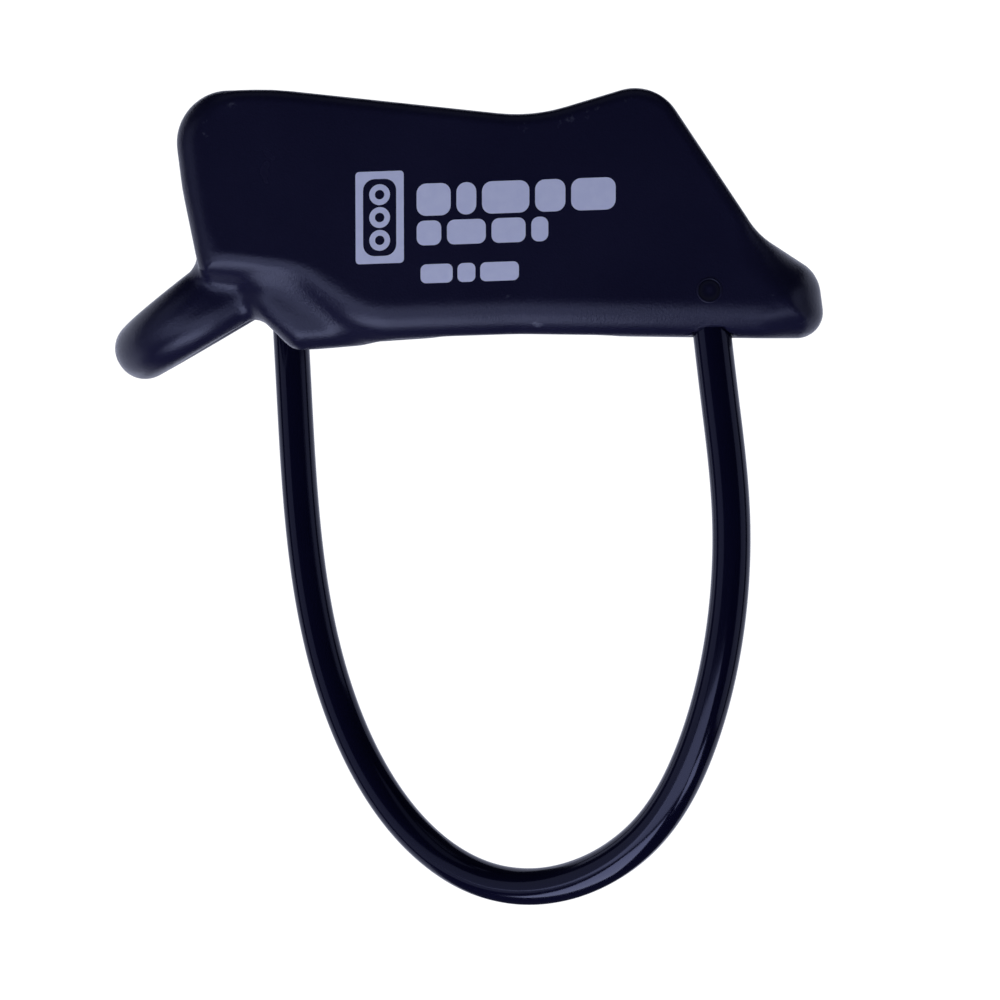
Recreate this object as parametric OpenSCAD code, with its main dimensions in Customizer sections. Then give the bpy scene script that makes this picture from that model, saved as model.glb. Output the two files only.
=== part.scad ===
// Belay device: a forged body with two rope slots, brake grooves, a guide eye and a keeper cable.
// Millimetres, +Z up. The origin is the centre of the guide eye. +X runs towards the brake
// grooves and Y runs across the two rope slots. The keeper cable hangs below the body.
// Sizes along X are measured from the middle of the rope slots, and heights from the underside.

/* [Cheeks] */
// Width across the two cheeks
body_w = 36; // [34:0.2:44]
// Distance from the middle of the slots to the lip end
lip_x = 35; // [33:0.5:42]
// Distance from the middle of the slots to the tip of the nose
nose_x = 35.2; // [33:0.2:42]
// Height of the cheek over the lip
lip_h = 26; // [24:0.5:32]
// Height of the cheek at its dip, above the middle of the slots
dip_h = 23.2; // [21.4:0.2:26]
// Height of the corner above the brake grooves
peak_h = 27; // [26:0.5:32]
// Radius of the long lower edge of each cheek
lower_round = 4; // [1:0.5:4]
// Radius of the upright edges at the lip end, seen from above
lip_edge = 3; // [1:0.5:4]
// Radius of the upright edges at the nose, seen from above
nose_edge = 6; // [2:0.5:7]

/* [Rope slots] */
// Length of each rope slot
slot_l = 28; // [23:0.5:30]
// Width of each rope slot
slot_w = 11.3; // [9:0.1:11.5]
// Corner radius of each rope slot
slot_round = 4; // [1:0.5:4.5]
// Thickness of the web between the slots
web_t = 3.8; // [3:0.2:5]
// Height of the rope lip between the cheeks
deck_h = 22; // [18:0.5:23]

/* [Brake grooves] */
// Width of a groove at its mouth
groove_w = 11; // [9:0.5:11.5]
// Width of a groove at its floor
groove_floor_w = 4; // [2:0.5:5]
// Depth of a groove, square to the sloping end
groove_depth = 6.5; // [4:0.5:7]
// Thickness of the toe under a groove
toe_t = 3.6; // [3:0.2:5]
// Radius of the bend in a groove's floor
groove_bend = 9; // [6:0.5:11]

/* [Guide eye] */
// Radius of the hole for the anchor carabiner
eye_r = 7.5; // [6.5:0.25:8]
// Width of the bar round the hole
eye_bar = 6.25; // [5:0.25:7]
// Thickness of the bar
eye_t = 6.6; // [5.5:0.2:8]
// Slope of the eye below the level of the underside
eye_tilt = 34; // [28:1:40]
// Half the width of the scoop that lets the carabiner through
scoop_half_w = 10.5; // [9:0.25:11]

/* [Keeper cable] */
// Diameter of one steel strand
strand_d = 0.72; // [0.6:0.01:0.88]
// Thickness of the plastic jacket
jacket_wall = 0.78; // [0.6:0.02:1]
// Length of one turn of the outer strands
lay_l = 18; // [15:1:30]
// Metal between the jacket's seat and the cheek's outer face
exit_wall = 1.4; // [1.2:0.1:1.8]
// Distance of the far exit from the end of its slot
exit_far_gap = 10.3; // [9.5:0.1:12]
// Distance of the near exit from the end of its slot
exit_near_gap = 8.7; // [7.5:0.1:10.5]
// Lean of the cable at the far exit
lean_far = 3.5; // [0:0.5:6]
// Lean of the cable at the near exit
lean_near = 7.7; // [0:0.1:10]
// Depth of the jacket's seat in the body
seat_depth = 3.3; // [2.5:0.1:4]
// Length of jacket that bends at each exit, below the underside
flex_l = 10; // [6:0.5:12]

/* [Ferrules and pins] */
// Thickness of a crimped ferrule's wall
ferrule_wall = 0.52; // [0.46:0.02:0.7]
// Length of a crimped ferrule
ferrule_l = 6; // [4:0.5:7]
// Diameter of a retaining pin
pin_d = 2.7; // [1.5:0.1:3.2]
// Metal between the end of the jacket and a retaining pin
pin_gap = 0.2; // [0.2:0.1:1]
// Depth of the pin's notch in its ferrule
notch_depth = 0.4; // [0.2:0.05:0.5]

/* [Clearances] */
// Gap round a ferrule, a pin and the jacket in their holes
fit = 0.03; // [0.02:0.01:0.1]
// Gap between the ferrule and the bottom of the jacket's seat
end_gap = 0.2; // [0.1:0.1:1]
// Gap between the end of the jacket and the bottom of its seat
seat_gap = 0.1; // [0.05:0.05:0.5]
// Gap between one strand and the next
strand_gap = 0.08; // [0.08:0.01:0.15]
// Gap between the strands and what they lie in
core_gap = 0.12; // [0.1:0.01:0.2]

/* [Hidden] */
$fn = 48;
far = -1;
near = 1;
over = 5; // how far a cut runs past the metal
anodised = "#1a1a2c";
jacket_black = "#0c0c10";
steel = "#a8abb0";
half_w = body_w / 2;
slot_end = slot_l / 2;
slot_y = web_t / 2 + slot_w / 2;
deck_half_w = web_t / 2 + slot_w;
lay_r = strand_d + strand_gap;
core_hole_d = 2 * lay_r + strand_d + 2 * core_gap;
jacket_d = core_hole_d + 2 * jacket_wall;
ferrule_d = core_hole_d + 2 * ferrule_wall;
exit_y = half_w - exit_wall - jacket_d / 2;
exit_far_x = slot_end + exit_far_gap;
exit_near_x = slot_end + exit_near_gap;
pin_h = seat_depth + pin_gap + pin_d / 2;

// The guide eye. Its bar is round in section at the tip, and its outer face meets the horn's tip.
eye_x = -(lip_x - 4.2);
eye_z = 3.9;
eye_out = eye_r + eye_bar;

// Side view of the cheeks: corners as [x, z, radius], clockwise from the lip.
peak_x = slot_end + 2.4;
foot_run = 11;
foot_h = 10.7;
heel_x = -slot_end - 8.2;
cheek_corners = [
    [-lip_x, lip_h - 0.3, 5.5],
    [-lip_x + 11, lip_h, 30],
    [3.4, dip_h, 18],
    [peak_x, peak_h, 5.2],
    [peak_x + foot_run, foot_h, 8],
    [nose_x - 1, 6.6, 4],
    [nose_x, -0.4, 2.8],
    [2, 0.1, 60],
    [heel_x, -1.9, 2.2],
    [heel_x - 3.8, 2.2, 2],
    [-lip_x + 3, 6.4, 1.5],
    [-lip_x + 1.2, 15.5, 30]
];
slope = atan2(peak_h - foot_h, foot_run);

// The keeper's plane runs through both exits. In it, s is the distance from their midpoint
// towards the near exit and z is the height, so its route is a list of [s, z] pull points.
keeper_turn = -atan2(2 * exit_y, exit_far_x + exit_near_x);
half_span = norm([exit_far_x + exit_near_x, 2 * exit_y]) / 2;
keeper_mid = [(exit_near_x - exit_far_x) / 2, 0, 0];
cable_top = seat_depth + end_gap + ferrule_l;
lead = 8.2;
loop_pulls = [
    [-26.5, -20], [-24.8, -33], [-20.8, -45.5], [-13.5, -56.5], [-3, -63],
    [9, -62.6], [20.4, -55.8], [26.4, -45], [29.7, -32.5], [30.5, -19.5]
];

function lean(side) = side > 0 ? lean_near : lean_far;
function on_leg(side, up) = [side * half_span - up * sin(lean(side)), up * cos(lean(side))];
function leg_pulls(side) = [for (i = [1, 0, -1, -2]) on_leg(side, cable_top + i * lead)];
pulls = concat(leg_pulls(far), loop_pulls, [for (i = [3:-1:0]) leg_pulls(near)[i]]);

// A smooth curve drawn by the pull points, then even stations along it.
function pulled(a, b, c, d, u) = (a * pow(1 - u, 3) + b * (3 * pow(u, 3) - 6 * u * u + 4)
    + c * (3 * (u + u * u - pow(u, 3)) + 1) + d * pow(u, 3)) / 6;
fine_steps = 12;
last_pull = len(pulls) - 4;
fine = [for (i = [0:last_pull], k = [0:fine_steps - (i == last_pull ? 0 : 1)])
    pulled(pulls[i], pulls[i + 1], pulls[i + 2], pulls[i + 3], k / fine_steps)];
run = [for (i = 0, t = 0; i < len(fine); t = t + (i + 1 < len(fine) ? norm(fine[i + 1] - fine[i]) : 0),
    i = i + 1) t];
cable_l = run[len(run) - 1];
s_table = [for (i = [0:len(fine) - 1]) [run[i], fine[i][0]]];
z_table = [for (i = [0:len(fine) - 1]) [run[i], fine[i][1]]];
function at(t) = [lookup(t, s_table), lookup(t, z_table)];
function heading(t) = let (v = at(min(t + 0.7, cable_l)) - at(max(t - 0.7, 0))) v / norm(v);

// One ring of a tube that follows the cable, set off from its middle by a radius and an angle.
function ring(t, r, off, angle, sides) =
    let (p = at(t), h = heading(t), n = [-h[1], h[0]])
    [for (k = [0:sides - 1])
        let (a = 360 * k / sides + 180 / sides, u = off * cos(angle) + r * cos(a),
             v = off * sin(angle) + r * sin(a))
        [p[0] + u * n[0], v, p[1] + u * n[1]]];

// Lengths along the cable where the jacket starts and where its bending stretches end.
jacket_start = ferrule_l + end_gap + seat_gap;
root_end = cable_top + flex_l;

// Rounds the corners of an outline with arcs.
function rounded(corners) = [for (i = [0:len(corners) - 1])
    let (n = len(corners), c = corners[i], p = corners[(i + n - 1) % n], q = corners[(i + 1) % n],
         o = [c[0], c[1]], back = [p[0], p[1]] - o, on = [q[0], q[1]] - o,
         ub = back / norm(back), uo = on / norm(on), half = acos(ub * uo) / 2,
         centre = o + (ub + uo) / norm(ub + uo) * c[2] / sin(half),
         first = o + ub * c[2] / tan(half) - centre, last = o + uo * c[2] / tan(half) - centre,
         a = atan2(first[1], first[0]), turn = atan2(last[1], last[0]) - a,
         sweep = turn > 180 ? turn - 360 : turn < -180 ? turn + 360 : turn,
         steps = max(2, ceil(abs(sweep) / 12)))
    for (k = [0:steps]) centre + c[2] * [cos(a + sweep * k / steps), sin(a + sweep * k / steps)]];

// Stands a flat side view up in the XZ plane, centred on Y.
module upright(width) {
    rotate([90, 0, 0])
        translate([0, 0, -width / 2])
            linear_extrude(width) children();
}

module rounded_box(l, w, r) {
    square([l - 2 * r, w], center = true);
    square([l, w - 2 * r], center = true);
    for (x = [-1, 1], y = [-1, 1])
        translate([x * (l / 2 - r), y * (w / 2 - r)]) circle(r);
}

// Moves what is drawn from the underside's middle so that the guide eye is the origin.
module from_eye() {
    translate([-eye_x, 0, -eye_z]) children();
}

// The guide eye's own frame: X in its plane towards the body, Z along the hole.
module eye_frame() {
    translate([eye_x, 0, eye_z]) rotate([0, -eye_tilt, 0]) children();
}

// The keeper's own frame: X along s, Z up.
module keeper_frame() {
    translate(keeper_mid) rotate([0, 0, keeper_turn]) children();
}

// A frame on one exit, with Z up along its bore.
module exit_frame(side) {
    keeper_frame()
        translate([side * half_span, 0, 0])
            rotate([0, -lean(side), 0]) children();
}

// Where a retaining pin's height meets its cable, in the keeper's plane.
function pin_s(side) = on_leg(side, pin_h / cos(lean(side)))[0];

// A retaining pin's frame: Z runs from the cheek's outer face inwards.
module pin_frame(side) {
    translate(keeper_mid + [pin_s(side) * cos(keeper_turn), -side * half_w, pin_h])
        rotate([-side * 90, 0, 0]) children();
}

// Depth of a pin's nose under the cheek's outer face.
function pin_depth(side) = half_w - abs(pin_s(side) * sin(keeper_turn)) - ferrule_d / 2 + notch_depth;

module cheek_block() {
    intersection() {
        upright(body_w + 2) polygon(rounded(cheek_corners));
        rotate([90, 0, 90])
            translate([0, 0, -lip_x - over])
                linear_extrude(lip_x + nose_x + 2 * over) end_view();
        translate([0, 0, -over]) linear_extrude(peak_h + 2 * over) plan_view();
    }
}

// Outline across the body: square at the top, round at the two long lower edges.
module end_view() {
    r = lower_round;
    bottom = -2;
    translate([-half_w, bottom + r]) square([body_w, peak_h + 1 - r]);
    translate([-half_w + r, bottom]) square([body_w - 2 * r, r + 1]);
    for (y = [-1, 1]) translate([y * (half_w - r), bottom + r]) circle(r);
}

module plan_view() {
    mid = -lip_x + 20;
    translate([-lip_x + lip_edge, -half_w]) square([20, body_w]);
    translate([-lip_x, -half_w + lip_edge]) square([20, body_w - 2 * lip_edge]);
    translate([mid, -half_w]) square([nose_x - nose_edge - mid, body_w]);
    translate([mid, -half_w + nose_edge]) square([nose_x - mid, body_w - 2 * nose_edge]);
    for (y = [-1, 1]) {
        translate([-lip_x + lip_edge, y * (half_w - lip_edge)]) circle(lip_edge);
        translate([nose_x - nose_edge, y * (half_w - nose_edge)]) circle(nose_edge);
    }
}

// The ring round the guide eye, with a full-round outer edge.
module eye_ring() {
    eye_frame() rotate_extrude() {
        translate([0, -eye_t / 2]) square([eye_out - eye_t / 2, eye_t]);
        intersection() {
            translate([eye_out - eye_t / 2, 0]) circle(eye_t / 2);
            translate([0, -eye_t]) square([eye_out + 1, 2 * eye_t]);
        }
    }
}

// Room for the anchor carabiner above and below the ring.
module scoop() {
    reach = 40;
    r = 3;
    eye_frame() for (z = [eye_t / 2, -eye_t / 2 - reach])
        translate([0, 0, z]) linear_extrude(reach) {
            translate([-reach, -scoop_half_w]) square([reach + eye_r - r, 2 * scoop_half_w]);
            translate([-reach, -scoop_half_w + r]) square([reach + eye_r, 2 * (scoop_half_w - r)]);
            for (y = [-1, 1]) translate([eye_r - r, y * (scoop_half_w - r)]) circle(r);
        }
}

module rope_slots() {
    for (y = [-1, 1])
        translate([0, y * slot_y, -over])
            linear_extrude(peak_h + 2 * over) rounded_box(slot_l, slot_w, slot_round);
}

// What is taken off between the cheeks to leave the rope lip.
module deck_cut() {
    upright(2 * deck_half_w) polygon(rounded([
        [-lip_x - over, deck_h - 6, 1],
        [-lip_x + 1, deck_h - 3, 2],
        [-lip_x + 8, deck_h + 0.6, 7],
        [-slot_end + 3, deck_h - 4, 6],
        [slot_end, deck_h - 4, 0.5],
        [slot_end, peak_h + over, 1],
        [-lip_x - over, peak_h + over, 1]
    ]));
}

// A brake groove's section: a floor with two leaning flanks, opened upwards.
module groove_section(open) {
    lean = (groove_w - groove_floor_w) / 2 / groove_depth;
    top = groove_floor_w / 2 + lean * (groove_depth + open);
    polygon([[-groove_floor_w / 2, 0], [groove_floor_w / 2, 0],
             [top, groove_depth + open], [-top, groove_depth + open]]);
}

// Both grooves. The floor falls along the slope, turns on an arc and runs out over the toe.
module brake_grooves() {
    turns = 4;
    corner_x = peak_x - groove_depth * sin(slope)
        + (peak_h - groove_depth * cos(slope) - toe_t) / tan(slope);
    arc_x = corner_x + groove_bend * tan(slope / 2);
    half_step = groove_bend * tan(slope / turns / 2);
    for (y = [-1, 1], i = [0:turns]) {
        tilt = slope * (1 - i / turns);
        back = i == 0 ? 40 : half_step;
        ahead = i == turns ? 40 : half_step;
        translate([arc_x - groove_bend * sin(tilt), y * slot_y, toe_t + groove_bend * (1 - cos(tilt))])
            rotate([0, tilt, 0]) rotate([90, 0, 90])
                translate([0, 0, -back]) linear_extrude(back + ahead) groove_section(1);
    }
}

// The blind bore for one cable end: the jacket's seat, then the ferrule's hole.
module cable_bore(side) {
    exit_frame(side) {
        translate([0, 0, -over]) cylinder(d = jacket_d + 2 * fit, h = seat_depth + over);
        cylinder(d = ferrule_d + 2 * fit, h = cable_top + end_gap);
    }
}

module body() {
    color(anodised) from_eye() difference() {
        union() {
            difference() {
                cheek_block();
                deck_cut();
                scoop();
            }
            eye_ring();
        }
        eye_frame() cylinder(r = eye_r, h = 4 * eye_t, center = true);
        rope_slots();
        brake_grooves();
        for (side = [far, near]) {
            cable_bore(side);
            pin_frame(side) translate([0, 0, -1]) cylinder(d = pin_d + 2 * fit, h = pin_depth(side) + 1);
        }
    }
}

// A closed tube along the cable from one length to another, with an optional hole.
module cable_tube(from, to, d, hole = 0, off = 0, start_angle = 0, sides = 10, step = 2.5) {
    n = max(2, ceil((to - from) / step));
    turn = off > 0 ? 360 / lay_l : 0;
    stations = [for (i = [0:n]) from + (to - from) * i / n];
    outer = [for (t = stations) each ring(t, d / 2, off, start_angle + turn * t, sides)];
    inner = hole > 0 ? [for (t = stations) each ring(t, hole / 2, 0, 0, sides)] : [];
    m = (n + 1) * sides;
    sleeve = [for (i = [0:n - 1], k = [0:sides - 1])
        let (a = i * sides + k, b = i * sides + (k + 1) % sides)
        [a, a + sides, b + sides, b]];
    bore = [for (f = sleeve) [for (j = [3:-1:0]) f[j] + m]];
    caps = hole > 0
        ? concat([for (k = [0:sides - 1]) let (b = (k + 1) % sides) [k, b, b + m, k + m]],
                 [for (k = [0:sides - 1]) let (a = n * sides + k, b = n * sides + (k + 1) % sides)
                     [b, a, a + m, b + m]])
        : [[for (k = [0:sides - 1]) k], [for (k = [sides - 1:-1:0]) n * sides + k]];
    from_eye() keeper_frame()
        polyhedron(concat(outer, inner), concat(sleeve, hole > 0 ? bore : [], caps), convexity = 10);
}

module keeper_sheath() {
    color(jacket_black)
        cable_tube(root_end, cable_l - root_end, jacket_d, core_hole_d);
}

// The short stretch of jacket that bends where the cable leaves the body.
module sheath_root(side) {
    color(jacket_black) cable_tube(
        side == far ? jacket_start : cable_l - root_end,
        side == far ? root_end : cable_l - jacket_start,
        jacket_d, core_hole_d);
}

module king_strand() {
    color(steel) cable_tube(0, cable_l, strand_d, sides = 6, step = 2);
}

// One of the six outer strands, laid round the middle one.
module lay_strand(i) {
    color(steel) cable_tube(0, cable_l, strand_d, off = lay_r, start_angle = 60 * i, sides = 6, step = 2);
}

module ferrule(side) {
    color(steel) from_eye() difference() {
        exit_frame(side) translate([0, 0, seat_depth + end_gap]) difference() {
            cylinder(d = ferrule_d, h = ferrule_l);
            translate([0, 0, -1]) cylinder(d = core_hole_d, h = ferrule_l + 2);
        }
        pin_frame(side) cylinder(d = pin_d + 2 * fit, h = pin_depth(side) + fit);
    }
}

module pin(side) {
    color(anodised) from_eye() pin_frame(side) cylinder(d = pin_d, h = pin_depth(side));
}

body();
keeper_sheath();
sheath_root(far);  // sheath_root_far
sheath_root(near);  // sheath_root_near
king_strand();
lay_strand(1);  // lay_strand_1
lay_strand(2);  // lay_strand_2
lay_strand(3);  // lay_strand_3
lay_strand(4);  // lay_strand_4
lay_strand(5);  // lay_strand_5
lay_strand(6);  // lay_strand_6
ferrule(far);  // ferrule_far
ferrule(near);  // ferrule_near
pin(far);  // pin_far
pin(near);  // pin_near
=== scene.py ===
import math

import bmesh
import bpy
import numpy as np
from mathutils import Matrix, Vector


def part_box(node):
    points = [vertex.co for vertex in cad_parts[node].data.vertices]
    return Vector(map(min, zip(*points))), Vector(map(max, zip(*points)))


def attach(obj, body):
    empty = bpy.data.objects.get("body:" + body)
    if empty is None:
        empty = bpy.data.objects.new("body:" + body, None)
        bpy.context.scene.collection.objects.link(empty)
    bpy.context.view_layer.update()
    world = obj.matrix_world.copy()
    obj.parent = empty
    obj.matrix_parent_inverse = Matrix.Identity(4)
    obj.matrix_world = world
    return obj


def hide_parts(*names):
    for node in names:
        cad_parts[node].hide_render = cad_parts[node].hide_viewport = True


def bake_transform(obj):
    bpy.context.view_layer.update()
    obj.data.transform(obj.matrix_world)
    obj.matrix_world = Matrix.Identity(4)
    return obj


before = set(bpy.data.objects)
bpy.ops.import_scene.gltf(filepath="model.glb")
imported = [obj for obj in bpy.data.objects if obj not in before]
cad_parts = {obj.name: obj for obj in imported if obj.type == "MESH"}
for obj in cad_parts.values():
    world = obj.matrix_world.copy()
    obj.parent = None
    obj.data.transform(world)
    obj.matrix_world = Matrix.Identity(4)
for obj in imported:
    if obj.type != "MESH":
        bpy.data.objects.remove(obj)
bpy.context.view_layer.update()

# A belay device: a satin black forging that holds two rope strands, with a guide eye at one end,
# brake grooves at the other, and a steel keeper cable in a glossy black jacket hanging below.
# Metres. The row frame has its origin at the middle of the guide eye. The forging is described
# from the middle of its rope slots and from its underside, which MIDDLE places in the row frame.

MIDDLE = np.array((0.0308, 0.0, -0.0039))
CELL = 0.00045

# The two cheeks, side on: corners as (x, z, radius), clockwise from the lip end.
HALF_W = 0.018
CHEEK_CORNERS = (
    (-0.035, 0.0257, 0.0055),
    (-0.024, 0.0260, 0.03),
    (0.0034, 0.0231, 0.018),
    (0.0164, 0.0270, 0.0052),
    (0.0274, 0.0107, 0.008),
    (0.0342, 0.0066, 0.0042),
    (0.0352, -0.0005, 0.0028),
    (0.002, -0.00005, 0.06),
    (-0.0150, -0.0006, 0.010),
    (-0.0225, 0.0046, 0.008),
    (-0.032, 0.0064, 0.0015),
    (-0.0338, 0.0155, 0.03),
)
# The heel below the lip end of the cheeks. Its near face is set back, and leans in downwards.
HEEL_CORNERS = (
    (-0.029, 0.012, 0.001),
    (-0.0262, 0.0022, 0.0024),
    (-0.0222, -0.0019, 0.0022),
    (-0.004, -0.0003, 0.010),
    (0.004, 0.010, 0.001),
)
HEEL_NEAR_W = 0.0147
HEEL_TOP_W = 0.0163
HEEL_DRAFT = 0.42
HEEL_ROUND = 0.0026
VALLEY_ROUND = 0.0013
# The far end of the cable is anchored low in the heel, which stays full width on that side.
ANCHOR_CORNERS = (
    (-0.030, 0.012, 0.001),
    (-0.032, 0.0064, 0.001),
    (-0.0260, 0.0022, 0.002),
    (-0.0222, -0.0019, 0.0022),
    (-0.010, -0.0008, 0.005),
    (0.000, 0.010, 0.001),
)
ANCHOR_ROUND = 0.0016

# Rounding of the cheeks' edges.
TOP_ROUND = 0.0012
LOWER_ROUND = 0.0043
LIP_ROUND = 0.003
NOSE_ROUND = 0.0062

# Rope slots, and the deck between the cheeks.
SLOT_L = 0.028
SLOT_W = 0.0113
SLOT_ROUND = 0.004
WEB_T = 0.0038
SLOT_Y = (WEB_T + SLOT_W) / 2
DECK_HALF_W = WEB_T / 2 + SLOT_W
MOUTH_ROUND = 0.0018
DECK_CORNERS = (
    (-0.050, 0.016, 0.001),
    (-0.034, 0.019, 0.002),
    (-0.027, 0.0226, 0.007),
    (-0.011, 0.018, 0.006),
    (0.014, 0.018, 0.001),
    (0.014, 0.040, 0.001),
    (-0.050, 0.040, 0.001),
)

# Brake grooves in the sloping end, with friction ribs across their flanks.
GROOVE_FLOOR = 0.0036
GROOVE_DEPTH = 0.0065
GROOVE_HALF_FLOOR = 0.002
GROOVE_LEAN = 0.0035 / GROOVE_DEPTH
GROOVE_BEND = 0.009
RIB_PITCH = 0.0024
RIB_DEPTH = 0.00035

# Guide eye: a bar bent round a hole, sloping down from the body and thicker towards it.
EYE_R = 0.0075
EYE_OUT = 0.01385
EYE_TILT = math.radians(34)
EYE_AT = np.array((-0.0308, 0.0039))
EYE_TIP_HALF_T = 0.0033
EYE_TAPER = 0.06
EYE_DROP = 0.0001
EYE_ROOT = 0.016
SCOOP_HALF_W = 0.0105
SCOOP_ROUND = 0.003

# Keeper cable, as in the design: its plane runs through both exits.
EXIT_Y = 0.01454
EXIT_FAR_X = 0.0243
EXIT_NEAR_X = 0.0227
HALF_SPAN = math.hypot(EXIT_FAR_X + EXIT_NEAR_X, 2 * EXIT_Y) / 2
KEEPER_MID = np.array(((EXIT_NEAR_X - EXIT_FAR_X) / 2, 0.0, 0.0))
LEAN = {-1: math.radians(3.5), 1: math.radians(7.7)}
CABLE_TOP = 0.0095
LEAD = 0.0082
LOOP_PULLS = (
    (-0.0265, -0.020), (-0.0248, -0.033), (-0.0208, -0.0455), (-0.0135, -0.0565), (-0.003, -0.063),
    (0.009, -0.0626), (0.0204, -0.0558), (0.0264, -0.045), (0.0297, -0.0325), (0.0305, -0.0195),
)
JACKET_R = 0.00206
CORE_R = 0.00128
STRAND_R = 0.00036
LAY_R = 0.0008
LAY_L = 0.018
FERRULE_L = 0.006
SEAT_DEPTH = 0.0033
END_GAP = 0.0002
PIN_R = 0.00135
PIN_H = 0.00485
PIN_HEAD_T = 0.0006
PIN_RIM = 0.0001
PIN_PROUD = 0.00002
FERRULE_R = 0.0018
FIT = 0.00003
SEAT_RUN_OUT = 0.006


# ---------------------------------------------------------------- shapes as distance fields

def rounded(corners, step=math.radians(4)):
    """Points round an outline whose corners are rounded off by arcs."""
    points = []
    for i, (cx, cz, radius) in enumerate(corners):
        corner = np.array((cx, cz))
        back = np.array(corners[i - 1][:2]) - corner
        ahead = np.array(corners[(i + 1) % len(corners)][:2]) - corner
        back /= np.linalg.norm(back)
        ahead /= np.linalg.norm(ahead)
        half = math.acos(np.clip(back @ ahead, -1, 1)) / 2
        middle = (back + ahead) / np.linalg.norm(back + ahead)
        centre = corner + middle * radius / math.sin(half)
        first = corner + back * radius / math.tan(half) - centre
        last = corner + ahead * radius / math.tan(half) - centre
        start = math.atan2(first[1], first[0])
        sweep = math.atan2(last[1], last[0]) - start
        sweep = (sweep + math.pi) % (2 * math.pi) - math.pi
        count = max(2, math.ceil(abs(sweep) / step))
        for k in range(count + 1):
            angle = start + sweep * k / count
            points.append(centre + radius * np.array((math.cos(angle), math.sin(angle))))
    return np.array(points)


def outline_distance(u, v, outline):
    """Distance from (u, v) to a closed outline, negative inside it."""
    nearest = np.full(np.broadcast(u, v).shape, np.inf)
    inside = np.zeros(nearest.shape, bool)
    for a, b in zip(outline, np.roll(outline, -1, axis=0)):
        edge = b - a
        length = edge @ edge
        if length < 1e-16:
            continue
        du = u - a[0]
        dv = v - a[1]
        t = np.clip((du * edge[0] + dv * edge[1]) / length, 0, 1)
        nearest = np.minimum(nearest, (du - t * edge[0]) ** 2 + (dv - t * edge[1]) ** 2)
        spans = (a[1] > v) != (b[1] > v)
        crossing = du < edge[0] * dv / (edge[1] if edge[1] else 1e-16)
        inside ^= spans & crossing
    return np.where(inside, -1, 1) * np.sqrt(nearest)


def smooth_max(a, b, r):
    """What two solids share, with the edge between them rounded off by an arc of radius r."""
    return np.minimum(np.maximum(a, b), -r) + np.hypot(np.maximum(a + r, 0), np.maximum(b + r, 0))


def smooth_min(a, b, r):
    """Two solids joined, with a fillet of radius r where they meet."""
    return -smooth_max(-a, -b, r)


def ease(value, start, end):
    """0 before start, 1 after end, and smooth between them."""
    t = np.clip((value - start) / (end - start), 0, 1)
    return t * t * (3 - 2 * t)


CHEEK = rounded(CHEEK_CORNERS)
HEEL = rounded(HEEL_CORNERS)
ANCHOR = rounded(ANCHOR_CORNERS)
DECK = rounded(DECK_CORNERS)


def groove_region():
    """Side view of all that lies above the brake grooves' floor."""
    peak = np.array(CHEEK_CORNERS[3][:2])
    foot = np.array(CHEEK_CORNERS[4][:2])
    down = (foot - peak) / np.linalg.norm(foot - peak)
    inward = np.array((down[1], -down[0]))
    start = peak + inward * GROOVE_DEPTH
    corner = start + down * (start[1] - GROOVE_FLOOR) / -down[1]
    top = start - down * 0.03
    return rounded(((top[0], top[1], 0.0005), (0.06, top[1], 0.0005), (0.06, GROOVE_FLOOR, 0.0005),
                    (corner[0], corner[1], GROOVE_BEND))), down


GROOVE, SLOPE_DIR = groove_region()


def edge_round(x, z):
    """Rounding of the cheeks' edges, from place to place."""
    r = TOP_ROUND + (LOWER_ROUND - TOP_ROUND) * ease(z, 0.013, 0.006)
    r = r + (LIP_ROUND - r) * ease(x, -0.027, -0.033)
    return r + (NOSE_ROUND - r) * ease(x, 0.0275, 0.0335)


def cheeks(x, y, z):
    cheek = smooth_max(outline_distance(x, z, CHEEK), np.abs(y) - HALF_W, edge_round(x, z))
    near = (-y - HEEL_NEAR_W - HEEL_DRAFT * z) / math.hypot(1, HEEL_DRAFT)
    near = smooth_max(near, np.abs(y) - HEEL_TOP_W, 0.002)
    heel = smooth_max(outline_distance(x, z, HEEL), near, HEEL_ROUND)
    anchor = smooth_max(outline_distance(x, z, ANCHOR), np.maximum(-y, y - HALF_W), ANCHOR_ROUND)
    return np.minimum(smooth_min(cheek, heel, VALLEY_ROUND), anchor)


def eye_frame(x, z):
    """Along the eye's plane towards the body, and square to it."""
    dx = x - EYE_AT[0]
    dz = z - EYE_AT[1]
    along = dx * math.cos(EYE_TILT) + dz * math.sin(EYE_TILT)
    square = dz * math.cos(EYE_TILT) - dx * math.sin(EYE_TILT)
    return along, square


def eye_plate(along, y, square):
    """The bar round the guide eye, and its root in the body."""
    outer = np.hypot(np.minimum(along, 0), y) - EYE_OUT
    outer = np.maximum(outer, along - EYE_ROOT)
    half_t = EYE_TIP_HALF_T + EYE_TAPER * np.maximum(along + EYE_OUT - EYE_TIP_HALF_T, 0)
    return smooth_max(outer, np.abs(square + EYE_DROP) - half_t, EYE_TIP_HALF_T * 0.97)


def scoop(along, y):
    """Room above and below the eye for the anchor carabiner."""
    return smooth_max(along - EYE_R, np.abs(y) - SCOOP_HALF_W, SCOOP_ROUND)


def rope_slots(x, y):
    half_l = SLOT_L / 2 - SLOT_ROUND
    half_w = SLOT_W / 2 - SLOT_ROUND
    dx = np.abs(x) - half_l
    dy = np.abs(np.abs(y) - SLOT_Y) - half_w
    outside = np.hypot(np.maximum(dx, 0), np.maximum(dy, 0))
    return outside + np.minimum(np.maximum(dx, dy), 0) - SLOT_ROUND


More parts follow.
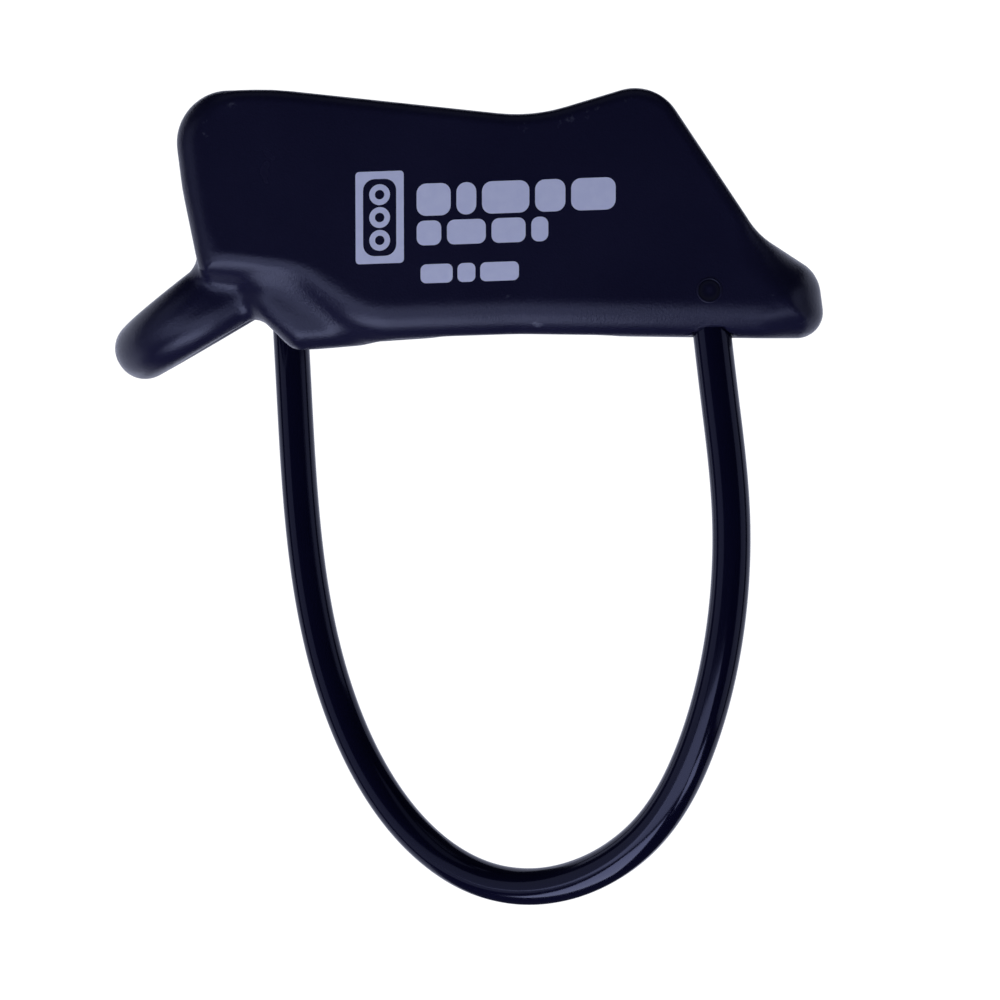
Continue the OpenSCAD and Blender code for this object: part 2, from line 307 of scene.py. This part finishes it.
def brake_grooves(x, y, z):
    height = -outline_distance(x, z, GROOVE)
    run = x * SLOPE_DIR[0] + z * SLOPE_DIR[1]
    ribs = RIB_DEPTH * (0.5 + 0.5 * np.cos(2 * math.pi * run / RIB_PITCH)) * ease(x, 0.031, 0.027)
    across = np.abs(np.abs(y) - SLOT_Y) - GROOVE_HALF_FLOOR - GROOVE_LEAN * height + ribs
    return smooth_max(-height, across / math.hypot(1, GROOVE_LEAN), 0.0015)


def on_leg(side, up):
    """A point on one straight end of the cable, in the keeper's plane."""
    return np.array((side * HALF_SPAN - up * math.sin(LEAN[side]), up * math.cos(LEAN[side])))


KEEPER_ALONG = np.array((EXIT_FAR_X + EXIT_NEAR_X, -2 * EXIT_Y, 0.0)) / (2 * HALF_SPAN)


def in_space(flat):
    """Points of the keeper's plane, in the forging's own frame."""
    flat = np.atleast_2d(flat)
    return KEEPER_MID + flat[:, :1] * KEEPER_ALONG + flat[:, 1:] * np.array((0.0, 0.0, 1.0))


def cylinder_distance(x, y, z, start, direction, radius, length):
    """Distance to a cylinder that runs from start along a direction."""
    dx = x - start[0]
    dy = y - start[1]
    dz = z - start[2]
    t = dx * direction[0] + dy * direction[1] + dz * direction[2]
    square = dx * dx + dy * dy + dz * dz - t * t
    return smooth_max(np.sqrt(np.maximum(square, 0)) - radius,
                      np.abs(t - length / 2) - length / 2, 0.0001)


def pin_place(side):
    """The middle of a retaining pin's outer face, and its length."""
    up = PIN_H / math.cos(LEAN[side])
    point = in_space(on_leg(side, up))[0]
    depth = HALF_W - abs(point[1]) - FERRULE_R + 0.0004
    return np.array((point[0], -side * HALF_W, PIN_H)), depth


def bores(solid, x, y, z):
    """Takes out the cable ends' holes and the retaining pins' holes."""
    for side in (-1, 1):
        foot, head = in_space([on_leg(side, -SEAT_RUN_OUT), on_leg(side, SEAT_DEPTH)])
        direction = (head - foot) / np.linalg.norm(head - foot)
        seat = cylinder_distance(x, y, z, foot, direction, JACKET_R + 2 * FIT,
                                 SEAT_RUN_OUT + SEAT_DEPTH)
        hole_l = CABLE_TOP + END_GAP
        start = in_space(on_leg(side, 0))[0]
        hole = cylinder_distance(x, y, z, start, direction, FERRULE_R + 2 * FIT, hole_l)
        face, depth = pin_place(side)
        inward = np.array((0.0, side, 0.0))
        pin_hole = cylinder_distance(x, y, z, face + inward * PIN_HEAD_T, inward, PIN_R + 2 * FIT,
                                     depth - PIN_HEAD_T)
        solid = smooth_max(solid, -seat, 0.0002)
        solid = np.maximum(solid, -hole)
        solid = np.maximum(solid, -pin_hole)
    return solid


def forging(x, y, z):
    """Distance to the finished forging, in the row frame."""
    x = x - MIDDLE[0]
    z = z - MIDDLE[2]
    solid = cheeks(x, y, z)
    deck = smooth_max(outline_distance(x, z, DECK), np.abs(y) - DECK_HALF_W, 0.001)
    solid = smooth_max(solid, -deck, 0.0012)
    along, square = eye_frame(x, z)
    solid = smooth_max(solid, -scoop(along, y), 0.0015)
    solid = smooth_min(solid, eye_plate(along, y, square), 0.0018)
    solid = smooth_max(solid, EYE_R - np.hypot(along, y), 0.0016)
    solid = smooth_max(solid, -rope_slots(x, y), MOUTH_ROUND)
    solid = smooth_max(solid, -brake_grooves(x, y, z), 0.0008)
    return bores(solid, x, y, z)


# ---------------------------------------------------------------- meshes

CORNERS = np.array([(i, j, k) for i in (0, 1) for j in (0, 1) for k in (0, 1)])
EDGES = [(a, b) for a in range(8) for b in range(a + 1, 8)
         if np.abs(CORNERS[a] - CORNERS[b]).sum() == 1]


def surface_points(grid, axes):
    """One point for each cell that the surface passes through, and the cells' numbers."""
    inside = grid < 0
    size = np.array(grid.shape) - 1
    count = sum(inside[i:i + size[0], j:j + size[1], k:k + size[2]].astype(np.int8)
                for i, j, k in CORNERS)
    cells = np.argwhere((count > 0) & (count < 8))
    number = np.full(size, -1)
    number[tuple(cells.T)] = np.arange(len(cells))
    values = np.stack([grid[tuple((cells + c).T)] for c in CORNERS], axis=1)
    total = np.zeros((len(cells), 3))
    hits = np.zeros(len(cells))
    for a, b in EDGES:
        cross = (values[:, a] < 0) != (values[:, b] < 0)
        t = np.where(cross, values[:, a] / np.where(cross, values[:, a] - values[:, b], 1), 0)
        place = CORNERS[a] + t[:, None] * (CORNERS[b] - CORNERS[a])
        total += place * cross[:, None]
        hits += cross
    step = np.array([axis[1] - axis[0] for axis in axes])
    low = np.array([axis[0] for axis in axes])
    return low + (cells + total / hits[:, None]) * step, number, inside


def surface_quads(number, inside):
    """A face for each grid edge that the surface crosses."""
    quads = []
    for axis in range(3):
        a = np.eye(3, dtype=int)[(axis + 1) % 3]
        b = np.eye(3, dtype=int)[(axis + 2) % 3]
        low = inside.take(range(inside.shape[axis] - 1), axis)
        high = inside.take(range(1, inside.shape[axis]), axis)
        edges = np.argwhere(low != high)
        quad = np.stack([number[tuple((edges - da * a - db * b).T)]
                         for da, db in ((0, 0), (1, 0), (1, 1), (0, 1))], axis=1)
        outward = low[tuple(edges.T)]
        quads.append(np.where(outward[:, None], quad, quad[:, ::-1]))
    return np.concatenate(quads)


def onto_surface(field, points, nudge, rounds=3):
    """Moves points along the field's slope until they lie on its surface."""
    for _ in range(rounds):
        x, y, z = points.T
        value = field(x, y, z)
        slope = np.stack([field(x + nudge, y, z), field(x, y + nudge, z), field(x, y, z + nudge)], 1)
        slope = (slope - value[:, None]) / nudge
        move = value[:, None] * slope / np.maximum((slope ** 2).sum(1), 0.25)[:, None]
        points = points - np.clip(move, -nudge * 6, nudge * 6)
    return points


def new_object(name, points, faces):
    mesh = bpy.data.meshes.new(name)
    mesh.from_pydata([tuple(p) for p in points], [], [tuple(f) for f in faces])
    mesh.validate()
    mesh.shade_smooth()
    obj = bpy.data.objects.new(name, mesh)
    bpy.context.scene.collection.objects.link(obj)
    return obj


def make_forging():
    low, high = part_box("body")
    pad = 3 * CELL
    cell = CELL
    axes = [np.arange(low[i] - pad, high[i] + pad + cell, cell) for i in range(3)]
    grid = forging(axes[0][:, None, None], axes[1][None, :, None], axes[2][None, None, :])
    points, number, inside = surface_points(grid, axes)
    quads = surface_quads(number, inside)
    points = onto_surface(forging, points, CELL / 8)
    return new_object("forged_body", points, quads.tolist())


def cable_route(step=0.0006):
    """Even stations along the cable from its far end to its near end, as (s, z) in its plane."""
    far = [on_leg(-1, CABLE_TOP + i * LEAD) for i in (1, 0, -1, -2)]
    near = [on_leg(1, CABLE_TOP + i * LEAD) for i in (-2, -1, 0, 1)]
    pulls = np.array(far + [np.array(p) for p in LOOP_PULLS] + near)
    u = np.linspace(0, 1, 40, endpoint=False)[:, None]
    weights = ((1 - u) ** 3, 3 * u ** 3 - 6 * u ** 2 + 4, 3 * (u + u ** 2 - u ** 3) + 1, u ** 3)
    fine = np.concatenate([sum(w * pulls[i + k] for k, w in enumerate(weights)) / 6
                           for i in range(len(pulls) - 3)])
    run = np.concatenate(([0], np.cumsum(np.linalg.norm(np.diff(fine, axis=0), axis=1))))
    even = np.linspace(0, run[-1], math.ceil(run[-1] / step) + 1)
    return even, np.stack([np.interp(even, run, fine[:, k]) for k in (0, 1)], axis=1)


RUN, ROUTE = cable_route()
CABLE_L = RUN[-1]


def along_cable(start, end):
    """Stations, places and the two directions square to the cable, between two lengths."""
    keep = (RUN > start) & (RUN < end)
    t = np.concatenate(([start], RUN[keep], [end]))
    flat = np.stack([np.interp(t, RUN, ROUTE[:, k]) for k in (0, 1)], axis=1)
    heading = np.gradient(flat, t, axis=0)
    heading /= np.linalg.norm(heading, axis=1)[:, None]
    centre = in_space(flat) + MIDDLE
    normal = -heading[:, 1:] * KEEPER_ALONG + heading[:, :1] * np.array((0.0, 0.0, 1.0))
    binormal = np.array((-KEEPER_ALONG[1], KEEPER_ALONG[0], 0.0))
    return t, centre, normal, binormal


def rings(start, end, radius, sides, off=0.0, phase=0.0):
    """Rings of points round the cable, or round a strand laid at a distance from its middle."""
    t, centre, normal, binormal = along_cable(start, end)
    turn = (2 * math.pi * t / LAY_L if off else 0 * t) + phase
    middle = centre + off * (np.cos(turn)[:, None] * normal + np.sin(turn)[:, None] * binormal)
    angle = 2 * math.pi * np.arange(sides) / sides
    return (middle[:, None] + radius * (np.cos(angle)[None, :, None] * normal[:, None]
                                        + np.sin(angle)[None, :, None] * binormal))


def skin(count, sides, first, flip=False):
    """Faces that join rings of points into a sleeve."""
    faces = []
    for i in range(count - 1):
        for k in range(sides):
            a = first + i * sides + k
            b = first + i * sides + (k + 1) % sides
            face = (a, b, b + sides, a + sides)
            faces.append(face[::-1] if flip else face)
    return faces


def make_jacket():
    """The cable's plastic jacket: a hollow sleeve with its ends rounded over."""
    sides = 32
    start = FERRULE_L + END_GAP + 0.0001
    outer = rings(start, CABLE_L - start, JACKET_R, sides)
    inner = rings(start, CABLE_L - start, CORE_R, sides)
    lip = 0.00025
    for ends in (0, -1):
        middle = outer[ends].mean(0)
        outer[ends] = middle + (outer[ends] - middle) * (1 - lip / JACKET_R)
    count = len(outer)
    total = count * sides
    points = np.concatenate([outer.reshape(-1, 3), inner.reshape(-1, 3)])
    faces = skin(count, sides, 0) + skin(count, sides, total, flip=True)
    for i, flip in ((0, False), (count - 1, True)):
        for k in range(sides):
            a = i * sides + k
            b = i * sides + (k + 1) % sides
            face = (a, a + total, b + total, b)
            faces.append(face[::-1] if flip else face)
    return new_object("cable_jacket", points, faces)


def make_strands():
    """One straight middle strand with six laid round it."""
    sides = 10
    points = []
    faces = []
    first = 0
    for i in range(7):
        off = LAY_R if i else 0.0
        strand = rings(0, CABLE_L, STRAND_R, sides, off, math.radians(60 * i))
        points.append(strand.reshape(-1, 3))
        faces += skin(len(strand), sides, first)
        last = first + (len(strand) - 1) * sides
        faces.append(tuple(first + k for k in reversed(range(sides))))
        faces.append(tuple(last + k for k in range(sides)))
        first += strand.shape[0] * sides
    return new_object("cable_strands", np.concatenate(points), faces)


def turned(name, profile, centre, outward, sides=64):
    """A solid of revolution: profile is (radius, height) from the top's middle downwards."""
    axis = Vector(outward)
    across = axis.orthogonal().normalized()
    other = axis.cross(across)
    points = []
    for radius, height in profile:
        for k in range(sides):
            angle = 2 * math.pi * k / sides
            points.append(Vector(centre) + axis * height
                          + (across * math.cos(angle) + other * math.sin(angle)) * radius)
    faces = skin(len(profile), sides, 0, flip=True)
    faces.append(tuple(range(sides)))
    last = (len(profile) - 1) * sides
    faces.append(tuple(last + k for k in reversed(range(sides))))
    return new_object(name, points, faces)


def make_pin(side, name):
    """A retaining pin with a flat head inside a thin rounded rim."""
    face, depth = pin_place(side)
    profile = [(0.0002, PIN_PROUD), (PIN_R - 2 * PIN_RIM, PIN_PROUD)]
    for k in range(9):
        angle = math.pi * (1 - k / 8)
        profile.append((PIN_R - PIN_RIM + PIN_RIM * math.cos(angle),
                        PIN_PROUD + PIN_RIM * 0.55 * math.sin(angle)))
    profile += [(PIN_R, -depth + 0.0003), (PIN_R - 0.0003, -depth)]
    return turned(name, profile, face + MIDDLE, (0, -side, 0))


# ---------------------------------------------------------------- materials

def node(tree, kind, **settings):
    made = tree.nodes.new(kind)
    for key, value in settings.items():
        setattr(made, key, value)
    return made


def group(name, inputs, outputs):
    """An empty node group with float inputs and outputs, and its two ends."""
    tree = bpy.data.node_groups.new(name, "ShaderNodeTree")
    for label, value in inputs.items():
        socket = tree.interface.new_socket(label, in_out="INPUT", socket_type="NodeSocketFloat")
        socket.default_value = value
    for label in outputs:
        tree.interface.new_socket(label, in_out="OUTPUT", socket_type="NodeSocketFloat")
    return tree, node(tree, "NodeGroupInput"), node(tree, "NodeGroupOutput")


def maths(tree, operation, a, b=None, clamp=False):
    made = node(tree, "ShaderNodeMath", operation=operation, use_clamp=clamp)
    for socket, value in zip(made.inputs, (a, b)):
        if isinstance(value, (int, float)):
            socket.default_value = value
        elif value is not None:
            tree.links.new(value, socket)
    return made.outputs[0]


def noise(tree, scale, detail=2.0, roughness=0.5):
    coords = node(tree, "ShaderNodeTexCoord")
    made = node(tree, "ShaderNodeTexNoise")
    tree.links.new(coords.outputs["Object"], made.inputs["Vector"])
    if isinstance(scale, (int, float)):
        made.inputs["Scale"].default_value = scale
    else:
        tree.links.new(scale, made.inputs["Scale"])
    made.inputs["Detail"].default_value = detail
    made.inputs["Roughness"].default_value = roughness
    return made.outputs["Fac"]


def grain_group():
    """Fine blasted or moulded grain, as a height."""
    tree, start, end = group("fine_grain", {"Grains per metre": 4000.0, "Coarse share": 0.3},
                             ("Height",))
    fine = noise(tree, start.outputs["Grains per metre"], 3.0, 0.6)
    coarse_scale = maths(tree, "MULTIPLY", start.outputs["Grains per metre"], 0.22)
    coarse = noise(tree, coarse_scale, 2.0, 0.5)
    share = maths(tree, "MULTIPLY", coarse, start.outputs["Coarse share"])
    tree.links.new(maths(tree, "ADD", fine, share), end.inputs["Height"])
    return tree


def handling_group():
    """Broad soft patches where hands and ropes have touched, from 0 to 1."""
    tree, start, end = group("handling_marks", {"Patches per metre": 60.0, "Contrast": 1.0},
                             ("Mask",))
    broad = noise(tree, start.outputs["Patches per metre"], 4.0, 0.55)
    centred = maths(tree, "SUBTRACT", broad, 0.5)
    strong = maths(tree, "MULTIPLY", centred, start.outputs["Contrast"])
    tree.links.new(maths(tree, "ADD", strong, 0.5, clamp=True), end.inputs["Mask"])
    return tree


def wear_group():
    """Wear on sharp outer edges, broken up by noise, from 0 to 1."""
    tree, start, end = group("edge_wear", {"Start": 0.53, "Gain": 12.0, "Break up": 0.5}, ("Mask",))
    bend = node(tree, "ShaderNodeNewGeometry").outputs["Pointiness"]
    above = maths(tree, "SUBTRACT", bend, start.outputs["Start"])
    edge = maths(tree, "MULTIPLY", above, start.outputs["Gain"], clamp=True)
    patches = noise(tree, 900.0, 3.0, 0.6)
    less = maths(tree, "SUBTRACT", patches, start.outputs["Break up"])
    broken = maths(tree, "MULTIPLY", less, 4.0, clamp=True)
    tree.links.new(maths(tree, "MULTIPLY", edge, broken), end.inputs["Mask"])
    return tree


GRAIN = grain_group()
HANDLING = handling_group()
WEAR = wear_group()


def use_group(tree, which, **values):
    made = node(tree, "ShaderNodeGroup", node_tree=which)
    for label, value in values.items():
        made.inputs[label.replace("_", " ")].default_value = value
    return made.outputs[0]


def blend_colours(tree, mask, low, high):
    made = node(tree, "ShaderNodeMix", data_type="RGBA")
    tree.links.new(mask, made.inputs["Factor"])
    for socket, value in ((made.inputs[6], low), (made.inputs[7], high)):
        if isinstance(value, tuple):
            socket.default_value = value
        else:
            tree.links.new(value, socket)
    return made.outputs[2]


def ranged(tree, value, low, high):
    made = node(tree, "ShaderNodeMapRange")
    tree.links.new(value, made.inputs["Value"])
    made.inputs["To Min"].default_value = low
    made.inputs["To Max"].default_value = high
    return made.outputs["Result"]


def shader(name, **values):
    """A material with one Principled shader whose own sockets hold the plain values."""
    material = bpy.data.materials.new(name)
    material.use_nodes = True
    tree = material.node_tree
    surface = tree.nodes["Principled BSDF"]
    for label, value in values.items():
        surface.inputs[label.replace("_", " ")].default_value = value
    return material, tree, surface


def bumped(tree, surface, height, strength, distance):
    bump = node(tree, "ShaderNodeBump")
    bump.inputs["Strength"].default_value = strength
    bump.inputs["Distance"].default_value = distance
    tree.links.new(height, bump.inputs["Height"])
    tree.links.new(bump.outputs["Normal"], surface.inputs["Normal"])


def anodised_black():
    material, tree, surface = shader(
        "anodised_black", IOR=1.5, Specular_IOR_Level=0.29, Specular_Tint=(0.72, 0.76, 1.0, 1.0))
    marks = use_group(tree, HANDLING, Patches_per_metre=70.0, Contrast=1.6)
    grain = use_group(tree, GRAIN, Grains_per_metre=4000.0, Coarse_share=0.25)
    wear = use_group(tree, WEAR, Start=0.56, Gain=10.0, Break_up=0.52)
    black = blend_colours(tree, marks, (0.0085, 0.0083, 0.026, 1), (0.0118, 0.0115, 0.034, 1))
    worn = blend_colours(tree, wear, black, (0.10, 0.105, 0.15, 1))
    tree.links.new(worn, surface.inputs["Base Color"])
    tree.links.new(ranged(tree, marks, 0.21, 0.29), surface.inputs["Roughness"])
    bumped(tree, surface, grain, 0.5, 0.00007)
    return material


def anodised_pin():
    material, tree, surface = shader(
        "anodised_pin_black", IOR=1.5, Specular_IOR_Level=0.3, Specular_Tint=(0.72, 0.76, 1.0, 1.0))
    grain = use_group(tree, GRAIN, Grains_per_metre=6000.0, Coarse_share=0.3)
    marks = use_group(tree, HANDLING, Patches_per_metre=400.0, Contrast=1.4)
    colour = blend_colours(tree, marks, (0.0070, 0.0068, 0.022, 1), (0.0110, 0.0108, 0.032, 1))
    tree.links.new(colour, surface.inputs["Base Color"])
    tree.links.new(ranged(tree, grain, 0.26, 0.36), surface.inputs["Roughness"])
    bumped(tree, surface, grain, 0.04, 0.00003)
    return material


def gloss_jacket():
    material, tree, surface = shader(
        "gloss_black_jacket", IOR=1.5, Specular_IOR_Level=0.36, Coat_Weight=0.08,
        Coat_Roughness=0.03, Specular_Tint=(0.60, 0.64, 1.0, 1.0))
    marks = use_group(tree, HANDLING, Patches_per_metre=120.0, Contrast=1.2)
    grain = use_group(tree, GRAIN, Grains_per_metre=900.0, Coarse_share=0.6)
    colour = blend_colours(tree, marks, (0.0022, 0.0021, 0.011, 1), (0.0036, 0.0035, 0.016, 1))
    tree.links.new(colour, surface.inputs["Base Color"])
    tree.links.new(ranged(tree, marks, 0.10, 0.18), surface.inputs["Roughness"])
    bumped(tree, surface, grain, 0.07, 0.00003)
    return material


def wire_steel():
    material, tree, surface = shader("wire_steel", Metallic=1.0)
    grain = use_group(tree, GRAIN, Grains_per_metre=9000.0, Coarse_share=0.4)
    marks = use_group(tree, HANDLING, Patches_per_metre=300.0, Contrast=1.4)
    colour = blend_colours(tree, marks, (0.42, 0.43, 0.45, 1), (0.60, 0.61, 0.63, 1))
    tree.links.new(colour, surface.inputs["Base Color"])
    tree.links.new(ranged(tree, grain, 0.22, 0.38), surface.inputs["Roughness"])
    bumped(tree, surface, grain, 0.15, 0.00002)
    return material


def crimp_aluminium():
    material, tree, surface = shader("crimp_aluminium", Metallic=1.0)
    grain = use_group(tree, GRAIN, Grains_per_metre=5000.0, Coarse_share=0.6)
    wear = use_group(tree, WEAR, Start=0.55, Gain=8.0, Break_up=0.45)
    colour = blend_colours(tree, wear, (0.52, 0.53, 0.55, 1), (0.82, 0.82, 0.84, 1))
    tree.links.new(colour, surface.inputs["Base Color"])
    tree.links.new(ranged(tree, grain, 0.3, 0.48), surface.inputs["Roughness"])
    bumped(tree, surface, grain, 0.2, 0.00003)
    return material


def print_ink():
    material, tree, surface = shader("pale_print", Specular_IOR_Level=0.3)
    marks = use_group(tree, HANDLING, Patches_per_metre=900.0, Contrast=1.6)
    grain = use_group(tree, GRAIN, Grains_per_metre=7000.0, Coarse_share=0.5)
    colour = blend_colours(tree, marks, (0.70, 0.73, 0.93, 1), (0.78, 0.81, 0.98, 1))
    tree.links.new(colour, surface.inputs["Base Color"])
    tree.links.new(ranged(tree, marks, 0.5, 0.62), surface.inputs["Roughness"])
    bumped(tree, surface, grain, 0.1, 0.00002)
    return material


def finish_with(obj, material):
    obj.data.materials.clear()
    obj.data.materials.append(material)


# ---------------------------------------------------------------- printed panel

PRINT_TILT = math.radians(2)
PRINT_T = 0.00003
PRINT_LIFT = 0.00001
SIGN_X = -0.0127
SIGN_Z = 0.0125
SIGN_W = 0.0051
SIGN_H = 0.0097
SIGN_BORDER = 0.0008
RING_R = 0.0011
RING_HOLE = 0.45
RING_PITCH = 0.0024
# Rows of bars as (left end, middle height, bar height, bar widths, gap).
BAR_ROWS = (
    (-0.0088, 0.0142, 0.0034, (0.0036, 0.0021, 0.0050, 0.0032, 0.0047), 0.0006),
    (-0.0088, 0.0107, 0.0026, (0.0026, 0.0041, 0.0036, 0.0018), 0.0006),
    (-0.0084, 0.0064, 0.0020, (0.0034, 0.0019, 0.0041), 0.0005),
)


def round_plate(x, z, w, h, r, steps=6):
    """Corner points of a rounded bar, anticlockwise seen from in front."""
    points = []
    for cx, cz, start in ((1, 1, 0), (-1, 1, 90), (-1, -1, 180), (1, -1, 270)):
        for k in range(steps + 1):
            angle = math.radians(start + 90 * k / steps)
            points.append((x + cx * (w / 2 - r) + r * math.cos(angle),
                           z + cz * (h / 2 - r) + r * math.sin(angle)))
    return points


def circle(x, z, r, count=32):
    angles = [2 * math.pi * k / count for k in range(count)]
    return [(x + r * math.cos(angle), z + r * math.sin(angle)) for angle in angles]


def print_bars(base):
    """Three rows of plain rounded bars."""
    for left, height, tall, widths, gap in BAR_ROWS:
        x = left
        for w in widths:
            outline = round_plate(x + w / 2, height, w, tall, tall * 0.3)
            base.faces.new([base.verts.new((u, 0, v)) for u, v in outline])
            x += w + gap


def print_band(base, outer, inner):
    """A flat band between two outlines with as many points."""
    outside = [base.verts.new((x, 0, z)) for x, z in outer]
    inside = [base.verts.new((x, 0, z)) for x, z in inner]
    for k in range(len(outside)):
        n = (k + 1) % len(outside)
        base.faces.new((outside[k], outside[n], inside[n], inside[k]))


def print_sign(base):
    """A frame with three rings in it."""
    opening = SIGN_W - 2 * SIGN_BORDER, SIGN_H - 2 * SIGN_BORDER
    print_band(base, round_plate(SIGN_X, SIGN_Z, SIGN_W, SIGN_H, 0.0004),
               round_plate(SIGN_X, SIGN_Z, *opening, 0.0012))
    for k in (1, 0, -1):
        z = SIGN_Z + k * RING_PITCH
        print_band(base, circle(SIGN_X, z, RING_R), circle(SIGN_X, z, RING_R * RING_HOLE))


def make_print():
    """Thin printed shapes on the near cheek's face, slightly tilted."""
    base = bmesh.new()
    print_bars(base)
    print_sign(base)
    bmesh.ops.recalc_face_normals(base, faces=base.faces)
    thick = bmesh.ops.extrude_face_region(base, geom=base.faces[:])
    moved = [v for v in thick["geom"] if isinstance(v, bmesh.types.BMVert)]
    bmesh.ops.translate(base, verts=moved, vec=(0, -PRINT_T, 0))
    bmesh.ops.recalc_face_normals(base, faces=base.faces)
    place = Vector(MIDDLE) + Vector((0, PRINT_LIFT - HALF_W, 0))
    for v in base.verts:
        v.co.z += (v.co.x - SIGN_X) * math.tan(PRINT_TILT)
        v.co += place
    mesh = bpy.data.meshes.new("printed_panel")
    base.to_mesh(mesh)
    base.free()
    obj = bpy.data.objects.new("printed_panel", mesh)
    bpy.context.scene.collection.objects.link(obj)
    return obj


# ---------------------------------------------------------------- studio

TARGET = Vector((MIDDLE[0], 0, -0.0229))
CAMERA_D = 0.358
CAMERA_UP = math.radians(5)
LENS = 115.07


def add_camera():
    camera = bpy.data.objects.new("camera", bpy.data.cameras.new("camera"))
    camera.data.lens = LENS
    camera.data.sensor_width = 36
    camera.data.clip_start = 0.01
    camera.location = TARGET + CAMERA_D * Vector((0, -math.cos(CAMERA_UP), math.sin(CAMERA_UP)))
    camera.rotation_euler = (math.pi / 2 - CAMERA_UP, 0, 0)
    bpy.context.scene.collection.objects.link(camera)
    bpy.context.scene.camera = camera


PANEL_COLOUR = (0.76, 0.80, 1.0)


def add_light(name, place, turn, size, radiance):
    """A soft rectangular light that the camera doesn't see."""
    data = bpy.data.lights.new(name, "AREA")
    data.shape = "RECTANGLE"
    data.size, data.size_y = size
    data.energy = radiance * math.pi * size[0] * size[1]
    data.color = PANEL_COLOUR
    light = bpy.data.objects.new(name, data)
    light.location = place
    light.rotation_euler = turn
    light.visible_camera = False
    bpy.context.scene.collection.objects.link(light)


def add_panel_light(name, azimuth, elevation, distance, size, radiance):
    """A panel aimed at the device. Azimuth 0 is the camera's side."""
    turn = math.radians(azimuth)
    up = math.radians(elevation)
    offset = distance * Vector((-math.sin(turn) * math.cos(up), -math.cos(turn) * math.cos(up),
                                math.sin(up)))
    add_light(name, TARGET + offset, offset.to_track_quat("Z", "Y").to_euler(), size, radiance)


def add_level_light(name, place, size, radiance):
    """A panel lying level below the device and facing up."""
    add_light(name, Vector(place), (math.pi, 0, 0), size, radiance)


def white_to_camera(tree, dim, seen, out):
    """Shows the camera plain white, and everything else the dim surface."""
    path = node(tree, "ShaderNodeLightPath")
    choose = node(tree, "ShaderNodeMixShader")
    tree.links.new(path.outputs["Is Camera Ray"], choose.inputs[0])
    tree.links.new(dim, choose.inputs[1])
    tree.links.new(seen, choose.inputs[2])
    tree.links.new(choose.outputs[0], out)


def add_floor():
    bpy.ops.mesh.primitive_plane_add(size=8, location=(0, 0, -0.70))
    floor = bpy.context.object
    floor.name = "floor"
    material, tree, surface = shader("pale_floor", Roughness=0.9, Specular_IOR_Level=0.1)
    surface.inputs["Base Color"].default_value = (0.06, 0.06, 0.07, 1)
    white = node(tree, "ShaderNodeEmission")
    white.inputs["Strength"].default_value = 1.1
    out = tree.nodes["Material Output"]
    white_to_camera(tree, surface.outputs[0], white.outputs[0], out.inputs["Surface"])
    finish_with(floor, material)


def add_surround():
    """White to the camera, dim to everything else, so that the black finishes stay black."""
    world = bpy.data.worlds.new("surround")
    world.use_nodes = True
    tree = world.node_tree
    tree.nodes.clear()
    seen = node(tree, "ShaderNodeBackground")
    seen.inputs["Color"].default_value = (1, 1, 1, 1)
    seen.inputs["Strength"].default_value = 1.1
    dim = node(tree, "ShaderNodeBackground")
    dim.inputs["Color"].default_value = (0.5, 0.55, 1.0, 1)
    dim.inputs["Strength"].default_value = 0.035
    out = node(tree, "ShaderNodeOutputWorld")
    white_to_camera(tree, dim.outputs[0], seen.outputs[0], out.inputs["Surface"])
    bpy.context.scene.world = world


def studio():
    add_camera()
    add_floor()
    add_surround()
    for side in (-1, 1):
        add_panel_light("back_panel", side * 133, -8, 0.8, (0.9, 1.3), 0.75)
    add_panel_light("rear_panel", 180, 8, 0.9, (0.7, 1.5), 0.75)
    add_panel_light("left_panel", 68, -5, 0.8, (0.55, 0.9), 0.5)
    add_panel_light("right_panel", -72, -5, 0.8, (0.5, 0.9), 0.55)
    add_panel_light("top_panel", 0, 72, 0.8, (0.9, 0.6), 0.22)
    add_level_light("key_panel", (-0.0325, -0.10, -0.23), (0.155, 0.15), 4.4)
    add_level_light("corner_panel", (0.14, -0.19, -0.23), (0.08, 0.10), 4.0)
    add_level_light("fill_panel", (-0.185, -0.37, -0.22), (0.53, 0.34), 2.3)
    bpy.context.scene.view_settings.view_transform = "Standard"


# ---------------------------------------------------------------- the device


def bend_with_keeper(obj):
    """Bakes the piece's placement into its mesh; it is neither attached to the body nor bent with
    the loop.
    """
    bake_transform(obj)


def build():
    studio()
    body = make_forging()
    finish_with(body, anodised_black())
    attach(body, "body")
    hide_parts("body")

    jacket = make_jacket()
    finish_with(jacket, gloss_jacket())
    bend_with_keeper(jacket)
    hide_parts("keeper_sheath", "sheath_root_far", "sheath_root_near")

    strands = make_strands()
    finish_with(strands, wire_steel())
    bend_with_keeper(strands)
    lay = [f"lay_strand_{i}" for i in range(1, 7)]
    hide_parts("king_strand", *lay)

    pin_finish = anodised_pin()
    for side, name in ((-1, "pin_far"), (1, "pin_near")):
        pin = make_pin(side, f"retaining_{name}")
        finish_with(pin, pin_finish)
        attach(pin, "body")
        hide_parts(name)

    crimp = crimp_aluminium()
    for name in ("ferrule_far", "ferrule_near"):
        finish_with(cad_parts[name], crimp)

    panel = make_print()
    finish_with(panel, print_ink())
    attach(panel, "body")


build()
